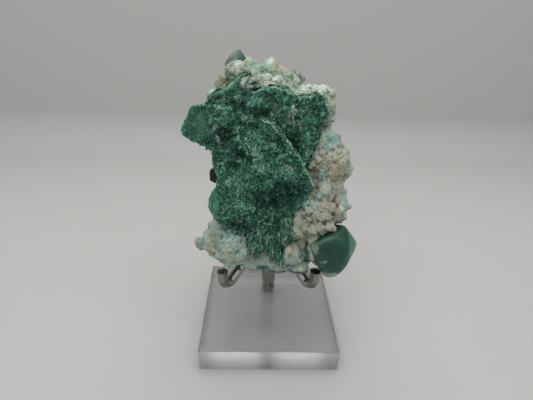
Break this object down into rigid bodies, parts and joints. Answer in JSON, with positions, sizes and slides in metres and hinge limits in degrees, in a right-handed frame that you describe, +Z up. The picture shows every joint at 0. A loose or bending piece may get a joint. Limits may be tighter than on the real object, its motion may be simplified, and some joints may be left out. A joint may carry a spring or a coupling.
{
  "type": "malachite after azurite specimen on a display stand",
  "caption": "Green tabular malachite crystals replacing azurite on pale lumpy matrix, leaning on the metal arms of a clear acrylic stand.",
  "frame": {"origin": "centre of the acrylic base's underside", "axes": "+Z up, -Y towards the display side that the crystals face, +X to the viewer's right"},
  "size_m": [0.0633, 0.0558, 0.1039],
  "materials": {
    "acrylic": "clear polished acrylic",
    "steel": "polished plated steel",
    "malachite": "drusy, sparkling green malachite",
    "smooth_malachite": "smooth silky dark green malachite",
    "weathered_malachite": "grey-green weathered crystal face",
    "black_oxide": "dull black",
    "pale_matrix": "matt mint, cream and turquoise botryoidal crust"
  },
  "bodies": {
    "root": {"acrylic_base": "acrylic", "base_screw": "steel", "post": "steel", "arm_collar": "steel", "left_arm": "steel", "right_arm": "steel", "back_arm": "steel", "malachite_group": "malachite", "corner_crystal": "smooth_malachite", "top_crystal": "weathered_malachite", "dark_crystal": "black_oxide", "matrix_rock": "pale_matrix"}
  },
  "joints": []
}
